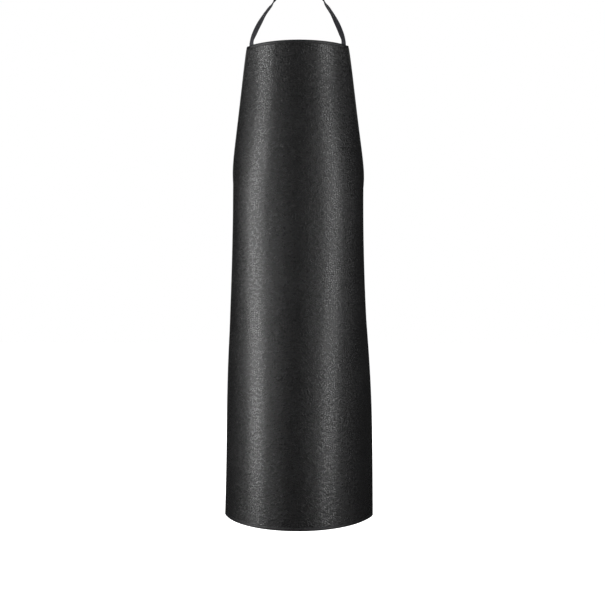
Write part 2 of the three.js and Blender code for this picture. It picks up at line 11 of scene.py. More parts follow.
import bmesh
import bpy
from mathutils import Matrix, Quaternion, Vector
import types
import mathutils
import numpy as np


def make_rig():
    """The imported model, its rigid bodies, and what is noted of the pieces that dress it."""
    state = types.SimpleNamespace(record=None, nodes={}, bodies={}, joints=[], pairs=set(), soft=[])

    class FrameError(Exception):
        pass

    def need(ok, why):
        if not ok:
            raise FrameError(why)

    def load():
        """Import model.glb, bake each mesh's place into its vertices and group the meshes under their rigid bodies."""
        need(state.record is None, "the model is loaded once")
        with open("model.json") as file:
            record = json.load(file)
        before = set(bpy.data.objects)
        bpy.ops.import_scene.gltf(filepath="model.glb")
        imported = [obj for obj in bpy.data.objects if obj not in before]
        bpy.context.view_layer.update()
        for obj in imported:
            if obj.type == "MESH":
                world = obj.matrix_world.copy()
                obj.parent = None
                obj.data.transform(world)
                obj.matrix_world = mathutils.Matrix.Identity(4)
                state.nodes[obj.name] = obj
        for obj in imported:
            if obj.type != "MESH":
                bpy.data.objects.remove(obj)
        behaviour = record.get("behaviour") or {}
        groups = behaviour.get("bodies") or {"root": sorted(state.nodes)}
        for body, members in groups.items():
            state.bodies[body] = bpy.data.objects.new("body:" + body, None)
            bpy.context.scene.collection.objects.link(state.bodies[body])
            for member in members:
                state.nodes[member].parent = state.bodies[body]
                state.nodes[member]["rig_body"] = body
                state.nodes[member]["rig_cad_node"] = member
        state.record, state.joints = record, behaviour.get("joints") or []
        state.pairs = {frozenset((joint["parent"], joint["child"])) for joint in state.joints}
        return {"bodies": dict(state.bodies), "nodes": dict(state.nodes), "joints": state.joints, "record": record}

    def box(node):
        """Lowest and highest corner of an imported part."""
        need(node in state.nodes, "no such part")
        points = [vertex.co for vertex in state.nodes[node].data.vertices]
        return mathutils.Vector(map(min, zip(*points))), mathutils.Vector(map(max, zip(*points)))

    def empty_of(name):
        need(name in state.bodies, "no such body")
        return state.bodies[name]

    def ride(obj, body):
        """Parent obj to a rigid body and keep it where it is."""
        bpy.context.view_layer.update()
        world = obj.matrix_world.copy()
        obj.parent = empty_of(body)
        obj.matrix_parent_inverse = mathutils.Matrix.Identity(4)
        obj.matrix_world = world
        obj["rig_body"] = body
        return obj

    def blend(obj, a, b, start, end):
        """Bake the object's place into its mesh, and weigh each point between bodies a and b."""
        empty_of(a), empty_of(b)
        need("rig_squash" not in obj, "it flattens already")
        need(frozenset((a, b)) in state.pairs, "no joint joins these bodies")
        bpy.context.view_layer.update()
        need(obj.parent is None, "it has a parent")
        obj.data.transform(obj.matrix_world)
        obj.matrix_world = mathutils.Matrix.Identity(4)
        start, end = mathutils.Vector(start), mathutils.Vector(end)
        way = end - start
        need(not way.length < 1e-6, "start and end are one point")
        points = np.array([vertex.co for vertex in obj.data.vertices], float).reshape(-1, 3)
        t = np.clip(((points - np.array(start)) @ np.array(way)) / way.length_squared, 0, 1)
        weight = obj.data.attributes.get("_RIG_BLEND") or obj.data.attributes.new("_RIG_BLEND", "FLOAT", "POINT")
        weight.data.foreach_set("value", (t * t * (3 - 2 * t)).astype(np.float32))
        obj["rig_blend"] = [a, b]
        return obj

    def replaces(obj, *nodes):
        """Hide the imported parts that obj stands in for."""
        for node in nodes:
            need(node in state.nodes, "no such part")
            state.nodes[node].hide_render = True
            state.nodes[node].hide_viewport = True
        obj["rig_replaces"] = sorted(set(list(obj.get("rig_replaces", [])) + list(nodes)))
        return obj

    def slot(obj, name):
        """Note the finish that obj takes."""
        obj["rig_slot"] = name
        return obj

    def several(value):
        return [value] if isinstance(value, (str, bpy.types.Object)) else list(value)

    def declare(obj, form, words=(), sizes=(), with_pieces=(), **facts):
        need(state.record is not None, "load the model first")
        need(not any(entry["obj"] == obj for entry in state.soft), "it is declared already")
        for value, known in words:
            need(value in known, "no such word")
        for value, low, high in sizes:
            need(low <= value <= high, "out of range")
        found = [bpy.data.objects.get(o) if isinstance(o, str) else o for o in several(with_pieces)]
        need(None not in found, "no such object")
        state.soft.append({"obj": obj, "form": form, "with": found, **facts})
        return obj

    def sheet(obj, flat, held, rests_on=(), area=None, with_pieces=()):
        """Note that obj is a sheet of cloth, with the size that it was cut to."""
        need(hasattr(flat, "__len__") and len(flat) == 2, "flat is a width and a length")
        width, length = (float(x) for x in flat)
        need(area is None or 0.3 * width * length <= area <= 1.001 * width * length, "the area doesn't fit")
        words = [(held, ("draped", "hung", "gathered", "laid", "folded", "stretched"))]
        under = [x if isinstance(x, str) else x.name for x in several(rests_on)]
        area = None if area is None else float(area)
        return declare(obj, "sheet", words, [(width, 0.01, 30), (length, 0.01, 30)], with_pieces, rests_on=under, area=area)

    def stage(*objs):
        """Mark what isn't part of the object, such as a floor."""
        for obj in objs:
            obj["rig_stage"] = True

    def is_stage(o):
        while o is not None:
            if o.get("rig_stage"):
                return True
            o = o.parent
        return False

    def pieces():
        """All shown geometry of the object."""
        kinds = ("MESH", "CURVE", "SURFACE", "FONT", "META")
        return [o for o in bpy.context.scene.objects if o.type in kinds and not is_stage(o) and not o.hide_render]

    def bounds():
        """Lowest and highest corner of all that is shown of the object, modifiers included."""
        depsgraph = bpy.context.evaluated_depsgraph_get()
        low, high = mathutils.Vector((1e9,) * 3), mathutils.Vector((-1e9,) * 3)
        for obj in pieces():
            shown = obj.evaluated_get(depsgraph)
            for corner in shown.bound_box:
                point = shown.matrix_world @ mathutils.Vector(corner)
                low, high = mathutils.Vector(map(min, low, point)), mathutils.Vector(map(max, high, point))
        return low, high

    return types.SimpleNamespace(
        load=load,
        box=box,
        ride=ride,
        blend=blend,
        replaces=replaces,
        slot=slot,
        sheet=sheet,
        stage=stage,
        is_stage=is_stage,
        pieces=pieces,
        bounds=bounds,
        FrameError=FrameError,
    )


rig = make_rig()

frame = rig.load()
cad_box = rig.bounds()

# ---- Sizes, in metres ----
PANEL_LOW, PANEL_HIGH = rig.box("apron_panel")
TOP_Z = PANEL_HIGH.z
HEM_Z = PANEL_LOW.z
BIB_HEIGHT = 0.368
WAIST_Z = TOP_Z - BIB_HEIGHT
BIB_TOP_HALF = 0.138  # half of the bib's top edge, along the cloth
SKIRT_HALF = 0.266  # half of the skirt's width, along the cloth
BIB_SLANT = (0.47, 0.8)  # share and power of the widening along the bib's straight sides
ARM_SCOOP_POWER = 5
CLOTH = 0.001
TAPE = 0.0006
BINDING = 0.007  # how far the binding reaches in from an edge
TAPE_CLEAR = 0.0002  # tape to cloth
STITCH_INSET = 0.0052  # seam line, in from an edge

# The wearer's horizontal section at three heights: half width, half depth, and where its front lies.
TOP_SECTION = (0.163, 0.163, -0.095)
WAIST_SECTION = (0.160, 0.120, -0.128)
HEM_SECTION = (0.200, 0.270, -0.150)
FLARE = 1.65

WEBBING = 0.015
WEBBING_T = 0.0012
SEWN = 0.038
STRAP_INSET = 0.005
STRAP_BELOW = 0.018
PATCH = 0.001
PATCH_MARGIN = 0.007
PATCH_TOP = 0.003  # neck patch's upper edge below the cloth's top edge
SEWN_GAP = 0.0008
BOX_INSET = 0.0025  # box stitching, in from the strap's edge
BOX_END = 0.003  # box stitching, in from the binding or from the strap's end
BELT_Z = WAIST_Z - STRAP_BELOW


# ---- The curved surface that the cloth lies on ----
def mix(a, b, share):
    return a + (b - a) * share


def smooth(x):
    return x * x * (3 - 2 * x)


def clamp(x, low=0.0, high=1.0):
    return max(low, min(high, x))


def section_at(z):
    """Half width, half depth and front of the section at height z."""
    if z >= WAIST_Z:
        share = smooth((TOP_Z - z) / BIB_HEIGHT)
        pair = (TOP_SECTION, WAIST_SECTION)
    else:
        share = min((WAIST_Z - z) / (WAIST_Z - HEM_Z), 1.2) ** FLARE
        pair = (WAIST_SECTION, HEM_SECTION)
    return tuple(mix(a, b, share) for a, b in zip(*pair))


def cloth_half(z):
    """Half of the cloth's width at height z, along the cloth."""
    if z <= WAIST_Z:
        return SKIRT_HALF
    down = clamp((TOP_Z - z) / BIB_HEIGHT)
    share, power = BIB_SLANT
    return mix(BIB_TOP_HALF, SKIRT_HALF, share * down**power + (1 - share) * down**ARM_SCOOP_POWER)


ARC_STEPS = 240
arc_tables = {}


def arc_table(z):
    """Arc length from the front at each of a row of section angles."""
    key = round(z, 5)
    if key not in arc_tables:
        half, depth, _ = section_at(key)
        step = math.pi / ARC_STEPS
        lengths = [0.0]
        for i in range(ARC_STEPS):
            angle = (i + 0.5) * step
            lengths.append(lengths[-1] + math.hypot(half * math.cos(angle), depth * math.sin(angle)) * step)
        arc_tables[key] = lengths
    return arc_tables[key]


def angle_at(z, run):
    """Section angle of the point that lies run metres from the front's middle, along the cloth."""
    lengths = arc_table(z)
    distance = min(abs(run), lengths[-1] - 1e-9)
    low, high = 0, ARC_STEPS
    while high - low > 1:
        middle = (low + high) // 2
        if lengths[middle] <= distance:
            low = middle
        else:
            high = middle
    share = (distance - lengths[low]) / (lengths[high] - lengths[low])
    return math.copysign((low + share) * math.pi / ARC_STEPS, run)


def ripple(run, z):
    """The cloth's own slight unevenness, as an offset along its normal.

    Long soft folds run down it, a finer pull crosses them, and the skirt's free edges sag and lift a little.
    """
    down = clamp((TOP_Z - z) / (TOP_Z - HEM_Z))
    out = abs(run) / SKIRT_HALF
    folds = 0.0008 * math.sin(27 * run + 2.1 * down + 0.6) * math.sin(3.1 * down + 0.4)
    pull = 0.0006 * math.sin(17 * run - 7.0 * z + 1.3) + 0.0001 * math.sin(53 * run + 5.0 * z)
    sag = 0.0022 * out**4 * math.sin(9.5 * down + (0.8 if run > 0 else 2.0))
    return (folds + pull) * (0.35 + 0.65 * down) + sag


def normal_at(angle, z):
    half, depth, _ = section_at(z)
    return Vector((depth * math.sin(angle), -half * math.cos(angle), 0)).normalized()


def on_cloth(run, z, lift=0.0):
    """A point of the cloth's surface, lift metres out of it."""
    angle = angle_at(z, run)
    half, depth, front = section_at(z)
    point = Vector((half * math.sin(angle), front + depth * (1 - math.cos(angle)), z))
    return point + normal_at(angle, z) * (lift + ripple(run, z))


# ---- Mesh helpers ----
def new_object(name, vertices, faces, body, materials, face_materials=None, uvs=None):
    """A smooth-shaded mesh object that rides on a body. uvs holds one (u, v) per face corner, in order."""
    mesh = bpy.data.meshes.new(name)
    mesh.from_pydata([tuple(v) for v in vertices], [], faces)
    for material in materials:
        mesh.materials.append(material)
    if face_materials:
        mesh.polygons.foreach_set("material_index", face_materials)
    if uvs:
        layer = mesh.uv_layers.new(name="UVMap")
        layer.data.foreach_set("uv", [x for uv in uvs for x in uv])
    mesh.polygons.foreach_set("use_smooth", [True] * len(mesh.polygons))
    mesh.update()
    obj = bpy.data.objects.new(name, mesh)
    bpy.context.scene.collection.objects.link(obj)
    if body:
        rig.ride(obj, body)
    return obj


def loft(name, sections, body, materials, slots=None, uv=None):
    """A closed solid through sections of 2n points: a row of n along one face and n back along the other.

    slots gives a material index for each side of the section. uv(k, i) gives the texture coordinates of
    point i of section k; without it they are the distances along the solid and round it.
    """
    count = len(sections[0])
    vertices = [point for section in sections for point in section]
    if uv is None:
        along = running(section[0] for section in sections)
        middle = sections[len(sections) // 2]
        around = running([*middle, middle[0]])

        def uv(k, i):
            return around[i], along[k]

    faces, indices, uvs = [], [], []
    for k in range(len(sections) - 1):
        for i in range(count):
            j = (i + 1) % count
            faces.append((k * count + i, k * count + j, (k + 1) * count + j, (k + 1) * count + i))
            indices.append(slots[i] if slots else 0)
            uvs += [uv(k, i), uv(k, i + 1), uv(k + 1, i + 1), uv(k + 1, i)]
    last = (len(sections) - 1) * count
    for i in range(count // 2 - 1):
        facing = count - 1 - i
        faces.append((i, facing, facing - 1, i + 1))
        faces.append((last + i, last + i + 1, last + facing - 1, last + facing))
        indices += [0, 0]
        uvs += [uv(0, i)] * 4 + [uv(len(sections) - 1, i)] * 4
    obj = new_object(name, vertices, faces, body, materials, indices, uvs)
    outward(obj)
    return obj


def running(points):
    """Distances from the first point, along the row."""
    points = list(points)
    lengths = [0.0]
    for a, b in zip(points, points[1:]):
        lengths.append(lengths[-1] + (b - a).length)
    return lengths


def outward(obj):
    """Turns every face outwards."""
    mesh = bmesh.new()
    mesh.from_mesh(obj.data)
    if mesh.calc_volume(signed=True) < 0:
        bmesh.ops.reverse_faces(mesh, faces=mesh.faces)
    mesh.to_mesh(obj.data)
    mesh.free()


def evenly(start, end, step):
    """Values from start to end, no further than step apart."""
    count = max(1, math.ceil(abs(end - start) / step))
    return [mix(start, end, i / count) for i in range(count + 1)]


# ---- Materials ----
class Nodes:
    """A material's node tree, with short ways to add and join nodes."""

    def __init__(self, name):
        self.material = bpy.data.materials.new(name)
        self.material.use_nodes = True
        self.tree = self.material.node_tree
        self.shader = self.tree.nodes["Principled BSDF"]

    def add(self, kind, inputs=None, **settings):
        node = self.tree.nodes.new("ShaderNode" + kind)
        for key, value in settings.items():
            setattr(node, key, value)
        for key, value in (inputs or {}).items():
            if isinstance(value, bpy.types.NodeSocket):
                self.tree.links.new(value, node.inputs[key])
            else:
                node.inputs[key].default_value = value
        return node

    def math(self, operation, *values):
        return self.add("Math", dict(enumerate(values)), operation=operation).outputs[0]

    def spread(self, value, low, high, to_low=0.0, to_high=1.0):
        """The value's range low..high mapped to to_low..to_high, clamped."""
        inputs = {"Value": value, "From Min": low, "From Max": high, "To Min": to_low, "To Max": to_high}
        return self.add("MapRange", inputs).outputs["Result"]

    def blend(self, share, a, b):
        """Colour a where share is 0, b where it is 1."""
        node = self.add("Mix", {"Factor": share}, data_type="RGBA")
        for index, colour in ((6, a), (7, b)):
            if isinstance(colour, bpy.types.NodeSocket):
                self.tree.links.new(colour, node.inputs[index])
            else:
                node.inputs[index].default_value = (*colour, 1)
        return node.outputs[2]

    def flat(self):
        """Texture coordinates along the cloth, in metres."""
        return self.add("UVMap", uv_map="UVMap").outputs["UV"]

    def noise(self, vector, scale, detail=2.0, roughness=0.5):
        inputs = {"Vector": vector, "Scale": scale, "Detail": detail, "Roughness": roughness}
        return self.add("TexNoise", inputs).outputs["Fac"]

    def cells(self, vector, scale, feature):
        inputs = {"Vector": vector, "Scale": scale}
        return self.add("TexVoronoi", inputs, feature=feature, voronoi_dimensions="2D").outputs["Distance"]

    def bump(self, height, distance, strength=1.0, below=None):
        inputs = {"Height": height, "Distance": distance, "Strength": strength}
        if below is not None:
            inputs["Normal"] = below
        return self.add("Bump", inputs).outputs["Normal"]

    def finish(self, **sockets):
        """Sets or links the shader's sockets by name, with spaces for underscores."""
        for key, value in sockets.items():
            socket = self.shader.inputs[key.replace("_", " ")]
            if isinstance(value, bpy.types.NodeSocket):
                self.tree.links.new(value, socket)
            elif isinstance(value, tuple):
                socket.default_value = (*value, 1)
            else:
                socket.default_value = value
        return self.material


def warped(nodes, vector, scale, reach):
    """The vector pushed about by a noise, by up to reach each way."""
    noise = nodes.add("TexNoise", {"Vector": vector, "Scale": scale, "Detail": 1.0}).outputs["Color"]
    centred = nodes.add("VectorMath", {0: noise, 1: (0.5, 0.5, 0.5)}, operation="SUBTRACT").outputs[0]
    push = nodes.add("VectorMath", {0: centred, "Scale": 2 * reach}, operation="SCALE").outputs[0]
    return nodes.add("VectorMath", {0: vector, 1: push}, operation="ADD").outputs[0]


PEBBLE = 0.0036  # size of a pebble of the leather grain
LUMP = 0.0068  # spacing of the grain's coarser unevenness
TAPE_GRAIN = 0.0016
KNIT = (0.0009, 0.0007)  # pitch of the knit, across and along
WEAVE = (0.0022, 0.0013)  # pitch of the webbing's zigzag, across and along


def leathercloth():
    """Black coated cloth with an embossed litchi grain, and painted shade darkening the grain's creases."""
    nodes = Nodes("leathercloth")
    flat = nodes.flat()
    wide = nodes.add("Mapping", {"Vector": flat, "Scale": (0.6, 1, 1)}).outputs[0]
    grain = warped(nodes, wide, 200, 0.0011)
    edge = nodes.cells(grain, 1 / PEBBLE, "DISTANCE_TO_EDGE")
    dome = nodes.cells(grain, 1 / PEBBLE, "F1")
    crease = nodes.spread(edge, 0.0, 0.16)
    pebbles = nodes.math("SUBTRACT", crease, nodes.math("MULTIPLY", dome, 0.55))
    lumps = nodes.noise(warped(nodes, wide, 60, 0.003), 1 / LUMP, 1.5)
    pores = nodes.noise(flat, 2600, 2)
    broad = nodes.noise(flat, 9, 3)
    patchy = nodes.noise(flat, 90, 3)
    rub = nodes.spread(nodes.math("MULTIPLY", broad, patchy), 0.22, 0.42)
    # painted shade: the colour is darker in the grain's creases, between the pebbles
    painted_crease_shade = nodes.blend(crease, (0.0060, 0.0060, 0.0062), (0.0120, 0.0120, 0.0123))
    colour = nodes.blend(nodes.math("MULTIPLY", rub, 0.5), painted_crease_shade, (0.018, 0.018, 0.0185))
    rough = nodes.spread(crease, 0, 1, 0.46, 0.25)
    rough = nodes.math("ADD", rough, nodes.spread(broad, 0.3, 0.7, -0.03, 0.04))
    rough = nodes.math("ADD", rough, nodes.spread(lumps, 0.62, 0.38, -0.03, 0.05))
    coarse = nodes.bump(lumps, 0.0008, 1.0, nodes.bump(pores, 0.00003, 0.35))
    return nodes.finish(
        Base_Color=colour,
        Roughness=rough,
        Specular_IOR_Level=0.5,
        Normal=nodes.bump(pebbles, 0.00026, 1.0, coarse),
    )


def knit_backing():
    """The cloth's inner face: a fine black knit under the coating."""
    nodes = Nodes("knit_backing")
    flat = nodes.flat()
    place = nodes.add("SeparateXYZ", {"Vector": flat})
    wales = nodes.math("SINE", nodes.math("MULTIPLY", place.outputs["X"], 2 * math.pi / KNIT[0]))
    courses = nodes.math("SINE", nodes.math("MULTIPLY", place.outputs["Y"], 2 * math.pi / KNIT[1]))
    loops = nodes.math("MULTIPLY", wales, courses)
    fuzz = nodes.noise(flat, 700, 4)
    broad = nodes.noise(flat, 14, 4, 0.65)
    streaks = nodes.noise(nodes.add("Mapping", {"Vector": flat, "Scale": (1, 0.08, 1)}).outputs[0], 160, 2)
    tone = nodes.math("ADD", nodes.spread(loops, -1, 1, 0, 0.5), nodes.math("MULTIPLY", fuzz, 0.5))
    colour = nodes.blend(tone, (0.020, 0.020, 0.022), (0.070, 0.070, 0.074))
    colour = nodes.blend(nodes.spread(broad, 0.38, 0.66, 0, 0.4), colour, (0.060, 0.060, 0.062))
    colour = nodes.blend(nodes.spread(streaks, 0.48, 0.7, 0, 0.28), colour, (0.022, 0.022, 0.023))
    return nodes.finish(
        Base_Color=colour,
        Roughness=0.92,
        Specular_IOR_Level=0.25,
        Sheen_Weight=0.25,
        Sheen_Roughness=0.5,
        Normal=nodes.bump(nodes.math("ADD", loops, fuzz), 0.00012, 0.6),
    )


def binding_tape():
    """Black coated tape, with a finer grain than the cloth's, and painted shade darkening its creases."""
    nodes = Nodes("binding_tape")
    flat = nodes.flat()
    grain = warped(nodes, flat, 300, 0.0005)
    crease = nodes.spread(nodes.cells(grain, 1 / TAPE_GRAIN, "DISTANCE_TO_EDGE"), 0.0, 0.2)
    puckers = nodes.noise(nodes.add("Mapping", {"Vector": flat, "Scale": (0.25, 1, 1)}).outputs[0], 330, 2)
    broad = nodes.noise(flat, 40, 3)
    # painted shade: the tape's colour is darker in its grain's creases
    painted_crease_shade = nodes.blend(crease, (0.0055, 0.0055, 0.0060), (0.0110, 0.0110, 0.0116))
    colour = nodes.blend(nodes.spread(broad, 0.5, 0.75, 0, 0.5), painted_crease_shade, (0.016, 0.016, 0.017))
    return nodes.finish(
        Base_Color=colour,
        Roughness=nodes.spread(crease, 0, 1, 0.46, 0.36),
        Specular_IOR_Level=0.45,
        Normal=nodes.bump(crease, 0.00010, 1.0, nodes.bump(puckers, 0.0004, 0.8)),
    )


def webbing():
    """Ribbed polypropylene webbing: the ribs are in the mesh, the weave is here."""
    nodes = Nodes("webbing")
    flat = nodes.flat()
    place = nodes.add("SeparateXYZ", {"Vector": flat})
    across = nodes.math("MULTIPLY", place.outputs["X"], 2 * math.pi / WEAVE[0])
    along = nodes.math("MULTIPLY", place.outputs["Y"], 2 * math.pi / WEAVE[1])
    zigzag = nodes.math("MULTIPLY", nodes.math("SINE", across), 1.6)
    chevron = nodes.math("SINE", nodes.math("ADD", along, zigzag))
    fibres = nodes.noise(nodes.add("Mapping", {"Vector": flat, "Scale": (1, 0.12, 1)}).outputs[0], 3500, 3)
    broad = nodes.noise(flat, 60, 2)
    tone = nodes.math("ADD", nodes.spread(chevron, -1, 1, 0, 0.6), nodes.math("MULTIPLY", fibres, 0.4))
    colour = nodes.blend(tone, (0.008, 0.008, 0.011), (0.034, 0.034, 0.043))
    colour = nodes.blend(nodes.spread(broad, 0.45, 0.75, 0, 0.4), colour, (0.036, 0.036, 0.043))
    return nodes.finish(
        Base_Color=colour,
        Roughness=0.62,
        Specular_IOR_Level=0.45,
        Sheen_Weight=0.1,
        Normal=nodes.bump(nodes.math("ADD", chevron, fibres), 0.00010, 0.7),
    )


def sewing_thread():
    """Black polyester thread, with its twist."""
    nodes = Nodes("sewing_thread")
    place = nodes.add("TexCoord").outputs["Object"]
    fibres = nodes.noise(place, 3000, 2)
    colour = nodes.blend(fibres, (0.012, 0.012, 0.013), (0.045, 0.045, 0.048))
    return nodes.finish(
        Base_Color=colour, Roughness=0.5, Sheen_Weight=0.1, Normal=nodes.bump(fibres, 0.00005, 0.5)
    )


def moulded_plastic():
    """Black acetal with the fine texture of its mould."""
    nodes = Nodes("moulded_plastic")
    place = nodes.add("TexCoord").outputs["Object"]
    spark = nodes.noise(place, 1800, 2)
    broad = nodes.noise(place, 70, 3)
    scuffs = nodes.noise(nodes.add("Mapping", {"Vector": place, "Scale": (0.15, 1, 1)}).outputs[0], 900, 3)
    colour = nodes.blend(broad, (0.0075, 0.0075, 0.008), (0.014, 0.014, 0.015))
    colour = nodes.blend(nodes.spread(scuffs, 0.62, 0.8, 0, 0.5), colour, (0.025, 0.025, 0.026))
    return nodes.finish(
        Base_Color=colour,
        Roughness=nodes.spread(broad, 0.3, 0.7, 0.42, 0.54),
        Specular_IOR_Level=0.4,
        Normal=nodes.bump(spark, 0.00001, 0.4),
    )


LEATHER = leathercloth()
BACKING = knit_backing()
TAPE_CLOTH = binding_tape()
STRAP = webbing()
THREAD = sewing_thread()
PLASTIC = moulded_plastic()


# ---- Camera ----
CAMERA_BEARING = math.radians(2)  # to the apron's right, seen from the front
CAMERA_DISTANCE = 2.3
CAMERA_LOW = 0.047  # below the apron's middle height
CAMERA_ASIDE = 0.0105  # to the right of the apron's axis
LENS = 55.4  # focal length for a 36 mm sensor, in mm


def make_camera():
    """Level, in front of the apron and a little to its right."""
    data = bpy.data.cameras.new("camera")
    data.sensor_width = 36
    data.lens = LENS
    data.clip_end = 50
    camera = bpy.data.objects.new("camera", data)
    turn = Matrix.Rotation(CAMERA_BEARING, 3, "Z")
    camera.location = turn @ Vector((CAMERA_ASIDE, -CAMERA_DISTANCE, (TOP_Z + HEM_Z) / 2 - CAMERA_LOW))
    camera.rotation_euler = (math.pi / 2, 0, CAMERA_BEARING)
    bpy.context.scene.collection.objects.link(camera)
    bpy.context.scene.camera = camera


make_camera()


# ---- The cloth panel ----
ROW = 0.006  # height of the mesh's rows
HALF_COLUMNS = 56


def panel_heights():
    return [*evenly(TOP_Z, WAIST_Z, ROW)[:-1], *evenly(WAIST_Z, HEM_Z, ROW)]


def panel():
    columns = [i / HALF_COLUMNS - 1 for i in range(2 * HALF_COLUMNS + 1)]
    heights = panel_heights()
    count = len(columns)
    sections = []
    for z in heights:
        runs = [share * cloth_half(z) for share in columns]
        outer = [on_cloth(run, z, CLOTH / 2) for run in runs]
        inner = [on_cloth(run, z, -CLOTH / 2) for run in reversed(runs)]
        sections.append(outer + inner)

    def uv(k, i):
        index = i % (2 * count)
        share = columns[index] if index < count else columns[2 * count - 1 - index]
        return share * cloth_half(heights[k]), heights[k]

    slots = [0] * (count - 1) + [0] + [1] * (count - 1) + [0]
    return loft("cloth_panel", sections, "apron", [LEATHER, BACKING], slots, uv)


def flat_area():
    """Area of the panel's cut, in square metres."""
    heights = panel_heights()
    return sum((a - b) * (cloth_half(a) + cloth_half(b)) for a, b in zip(heights, heights[1:]))


# ---- Folded tape along an edge ----
TAPE_LOW = CLOTH / 2 + TAPE_CLEAR  # the tape's inner face, out from the cloth's middle
SEAM_DIP = 0.00012  # how far the seam pulls the tape in
TAPE_SWELL = 0.0004  # how far the tape swells between the fold and the seam


def tape_puff(inwards):
    """How far the tape's face stands off the cloth: it swells between the fold and the seam."""
    if inwards <= STITCH_INSET:
        share = inwards / STITCH_INSET
        return TAPE_SWELL * math.sin(math.pi * share**0.8) - SEAM_DIP * share**6
    return -SEAM_DIP * (BINDING - inwards) / (BINDING - STITCH_INSET)


def tape_section():
    """The folded tape as (inwards, lift) pairs, its outer face and then its inner face back."""
    steps = [1.0, 0.96, 0.90, 0.83, STITCH_INSET / BINDING, 0.75, 0.65, 0.52, 0.38, 0.24, 0.10]
    fold = [math.pi * i / 8 for i in range(9)]

    def face(low, puff):
        front = [(BINDING * s, low + puff * tape_puff(BINDING * s)) for s in steps]
        bend = [(-math.sin(a) * low, math.cos(a) * low) for a in fold]
        back = [(inwards, -lift) for inwards, lift in reversed(front)]
        return front + bend + back

    outer = face(TAPE_LOW + TAPE, 1.0)
    inner = face(TAPE_LOW, 0.6)
    return outer + inner[::-1]


TAPE_SECTION = tape_section()


def tape(name, node, places):
    """Folded tape over an edge, at places (run, z, inward run, inward z) along it, in the flat cloth."""
    sections = []
    for run, z, in_run, in_z in places:
        sections.append([on_cloth(run + in_run * x, z + in_z * x, lift) for x, lift in TAPE_SECTION])
    piece = loft(name, sections, "apron", [TAPE_CLOTH])
    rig.replaces(piece, node)
    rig.slot(piece, "binding_tape")
    return piece


def edge_places(side, heights, start=None, end=None):
    """Places down a side edge. start and end are the inward directions where the tape's ends are cut."""
    edge = [(cloth_half(z), z) for z in heights]
    places = []
    for i, (run, z) in enumerate(edge):
        before, after = edge[max(i - 1, 0)], edge[min(i + 1, len(edge) - 1)]
        d_run, d_z = after[0] - before[0], after[1] - before[1]
        length = math.hypot(d_run, d_z)
        inwards = (d_z / length, -d_run / length)
        if i == 0 and start:
            inwards = start
        if i == len(edge) - 1 and end:
            inwards = end
        places.append((side * run, z, side * inwards[0], inwards[1]))
    return places


def arm_heights():
    """Heights down the arm scoop, closer together at its foot, and clear of the corner's own tape."""
    rows = 64
    heights = [TOP_Z - BIB_HEIGHT * math.sin(math.pi / 2 * i / rows) for i in range(rows)]
    return [z for z in heights if z > WAIST_Z + BINDING] + [WAIST_Z]


def waist_mitre():
    above = arm_heights()[-2]
    lean = math.atan2(SKIRT_HALF - cloth_half(above), above - WAIST_Z)
    return (-1, -math.tan(lean / 2))


SIDEWAYS = (-1, 0)
CORNER_GAP = 0.0005


def make_tapes():
    mitre = waist_mitre()
    skirt = evenly(WAIST_Z - 2 * CORNER_GAP, HEM_Z, ROW)
    pieces = []
    for name, side in (("left", -1), ("right", 1)):
        arm = edge_places(side, arm_heights(), SIDEWAYS, mitre)
        pieces.append(tape(f"arm_tape_{name}", f"arm_binding_{name}", arm))
        long = edge_places(side, skirt, mitre, SIDEWAYS)
        pieces.append(tape(f"side_tape_{name}", f"side_binding_{name}", long))
    for name, z, in_z in (("top", TOP_Z, -1), ("hem", HEM_Z, 1)):
        end = cloth_half(z) - BINDING - 2 * CORNER_GAP
        level = [(run, z, 0, in_z) for run in evenly(-end, end, ROW)]
        pieces.append(tape(f"{name}_tape", f"{name}_binding", level))
    return pieces


# ---- Stitching ----
STITCH = 0.0032  # stitch pitch
THREAD_R = 0.00028
SEAM_END = 0.001  # a side seam's end above the hem
# Sections of a stitch: share of its length, and width and lift as shares of the thread's radius.
STITCH_RINGS = ((0.0, 0.5, -1.0), (0.18, 0.95, 0.1), (0.5, 1.1, 0.35), (0.82, 0.95, 0.1), (1.0, 0.5, -1.0))


def add_stitch(vertices, faces, a, b, up):
    """One stitch, a thread from a to b that dips into the cloth at both ends."""
    along = (b - a).normalized()
    side = along.cross(up).normalized()
    corners = 6
    base = len(vertices)
    for share, size, lift in STITCH_RINGS:
        centre = a.lerp(b, share) + up * (lift * THREAD_R)
        for i in range(corners):
            turn = 2 * math.pi * i / corners
            vertices.append(centre + (side * math.cos(turn) + up * math.sin(turn)) * (THREAD_R * size))
    for k in range(len(STITCH_RINGS) - 1):
        for i in range(corners):
            j = (i + 1) % corners
            faces.append((base + k * corners + i, base + k * corners + j,
                          base + (k + 1) * corners + j, base + (k + 1) * corners + i))
    faces.append(tuple(base + i for i in reversed(range(corners))))
    faces.append(tuple(base + (len(STITCH_RINGS) - 1) * corners + i for i in range(corners)))


def resample(path, pitch):
    """Points of a flat path at an even pitch, as near the given one as fits a whole number."""
    lengths = [0.0]
    for a, b in zip(path, path[1:]):
        lengths.append(lengths[-1] + math.dist(a, b))
    count = max(1, round(lengths[-1] / pitch))
    points, k = [], 0
    for n in range(count + 1):
        want = lengths[-1] * n / count
        while k < len(path) - 2 and lengths[k + 1] < want:
            k += 1
        share = (want - lengths[k]) / max(lengths[k + 1] - lengths[k], 1e-9)
        points.append(tuple(mix(p, q, share) for p, q in zip(path[k], path[k + 1])))
    return points


